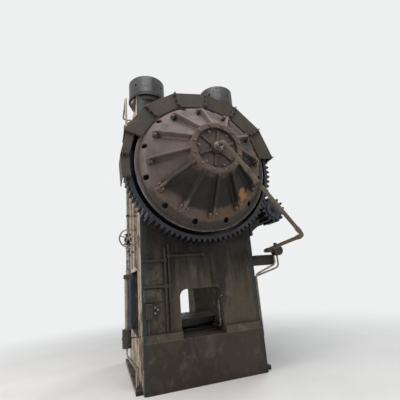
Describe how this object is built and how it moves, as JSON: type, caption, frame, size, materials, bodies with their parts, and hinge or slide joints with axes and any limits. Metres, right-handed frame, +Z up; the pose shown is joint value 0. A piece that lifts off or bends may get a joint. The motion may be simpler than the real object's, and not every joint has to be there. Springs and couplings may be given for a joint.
{
  "type": "hot forging press",
  "caption": "Eccentric hot forging press with tie-rod frame, toothed main gear under a ribbed clutch cover, gear guard, flywheel drive, brake and wedge-set die bed.",
  "frame": {"origin": "on the floor under the eccentric shaft's axis, midway between the frame's side faces", "axes": "+X along the shaft towards the gear and clutch, -Y towards the operator, +Z up"},
  "size_m": [4.4979, 3.494, 5.85],
  "materials": {
    "dark_green_paint": "worn oily paint",
    "cover_grey_green": "oily painted casting",
    "guard_sheet": "worn paint",
    "cream_paint": "satin",
    "forged_steel": "oiled",
    "cast_steel": "oiled",
    "bronze": "oiled",
    "machined_iron": "machined",
    "friction_lining": "matt",
    "bolt_steel": "worn bright",
    "grey_paint": "satin",
    "pipe_steel": "worn paint",
    "valve_iron": "painted",
    "blue_bowl": "gloss",
    "rubber": "matt"
  },
  "bodies": {
    "frame": {"bed": "dark_green_paint", "press_frame": "dark_green_paint", "tie_rods": "forged_steel", "tie_rod_washers": "forged_steel", "tie_rod_nuts": "forged_steel", "main_bushes": "bronze", "guide_gibs": "machined_iron", "balance_cylinders": "grey_paint", "bolster_rails": "cast_steel", "drive_brackets": "dark_green_paint", "drive_bearings": "bronze", "motor": "grey_paint", "motor_bracket": "dark_green_paint", "v_belts": "rubber", "brake_housing": "dark_green_paint", "brake_cover": "dark_green_paint", "gear_guard": "guard_sheet", "guard_stays": "guard_sheet", "rotary_union": "bolt_steel", "air_pipe": "pipe_steel", "air_valve": "valve_iron", "valve_pipes": "pipe_steel", "side_pipes": "pipe_steel", "side_boxes": "grey_paint", "front_riser": "pipe_steel", "hand_valve": "valve_iron", "filter_bowls": "blue_bowl", "pipe_supports": "guard_sheet", "well_covers": "cream_paint", "frame_bolts": "bolt_steel"},
    "slide": {"slide": "cast_steel", "slide_liners": "bronze", "balance_rods": "forged_steel"},
    "upper_ejector": {"upper_ejector": "forged_steel"},
    "rod": {"connecting_rod": "cast_steel", "rod_cap": "cast_steel", "rod_bolts": "bolt_steel", "rod_bushes": "bronze", "wrist_pin": "forged_steel"},
    "shaft": {"eccentric_shaft": "forged_steel", "clutch_hub": "forged_steel", "driven_disc": "machined_iron", "friction_blocks": "friction_lining", "brake_disc": "machined_iron"},
    "gear": {"main_gear": "cover_grey_green", "gear_bearings": "bronze", "lining_plate": "machined_iron", "clutch_cylinder": "machined_iron", "clutch_cover": "cover_grey_green", "hub_cap": "machined_iron", "cover_bolts": "bolt_steel"},
    "clutch_piston": {"clutch_piston": "machined_iron"},
    "brake_piston": {"brake_piston": "machined_iron"},
    "drive_shaft": {"pinion_shaft": "forged_steel", "flywheel": "machined_iron"},
    "motor_rotor": {"motor_pulley": "machined_iron"},
    "wedge": {"bed_wedge": "cast_steel"},
    "bolster": {"bolster": "cast_steel"},
    "lower_ejector": {"lower_ejector": "forged_steel"},
    "handwheel": {"handwheel": "valve_iron"}
  },
  "joints": [
    {"name": "slide_stroke", "type": "slide", "parent": "frame", "child": "slide", "axis": [0, 0, 1], "range_m": [-0.28, 0]},
    {"name": "crank_turn", "type": "hinge", "parent": "frame", "child": "shaft", "pos_m": [0, 0, 3.554], "axis": [1, 0, 0], "range_deg": [0, 180]},
    {"name": "rod_swing", "type": "hinge", "parent": "shaft", "child": "rod", "pos_m": [0, 0, 3.694], "axis": [1, 0, 0], "range_deg": [-180, 0]},
    {"name": "gear_spin", "type": "hinge", "parent": "frame", "child": "gear", "pos_m": [0, 0, 3.554], "axis": [1, 0, 0], "continuous": true},
    {"name": "drive_spin", "type": "hinge", "parent": "frame", "child": "drive_shaft", "pos_m": [0, 1.30732, 2.75914], "axis": [1, 0, 0], "continuous": true},
    {"name": "motor_spin", "type": "hinge", "parent": "frame", "child": "motor_rotor", "pos_m": [0, 1.62, 4.8], "axis": [1, 0, 0], "continuous": true},
    {"name": "clutch_stroke", "type": "slide", "parent": "gear", "child": "clutch_piston", "axis": [-1, 0, 0], "range_m": [0, 0.004]},
    {"name": "brake_stroke", "type": "slide", "parent": "frame", "child": "brake_piston", "axis": [-1, 0, 0], "range_m": [0, 0.003]},
    {"name": "bolster_lift", "type": "slide", "parent": "frame", "child": "bolster", "axis": [0, 0, 1], "range_m": [0, 0.005]},
    {"name": "wedge_slide", "type": "slide", "parent": "frame", "child": "wedge", "axis": [0, -1, 0], "range_m": [0, 0.0601]},
    {"name": "lower_eject", "type": "slide", "parent": "frame", "child": "lower_ejector", "axis": [0, 0, 1], "range_m": [0, 0.06]},
    {"name": "upper_eject", "type": "slide", "parent": "slide", "child": "upper_ejector", "axis": [0, 0, -1], "range_m": [0, 0.04], "stiffness_N_per_m": 4000, "springref_m": -0.03},
    {"name": "handwheel_turn", "type": "hinge", "parent": "frame", "child": "handwheel", "pos_m": [0.9, -1.225, 2.42], "axis": [1, 0, 0], "continuous": true}
  ],
  "couplings": [
    {"joint": "crank_turn", "follows": "slide_stroke", "rad_per_m": -11.219},
    {"joint": "rod_swing", "follows": "slide_stroke", "rad_per_m": 11.219},
    {"joint": "drive_spin", "follows": "gear_spin", "ratio": -6.2857},
    {"joint": "motor_spin", "follows": "gear_spin", "ratio": -25.805},
    {"joint": "wedge_slide", "follows": "bolster_lift", "ratio": 12}
  ]
}
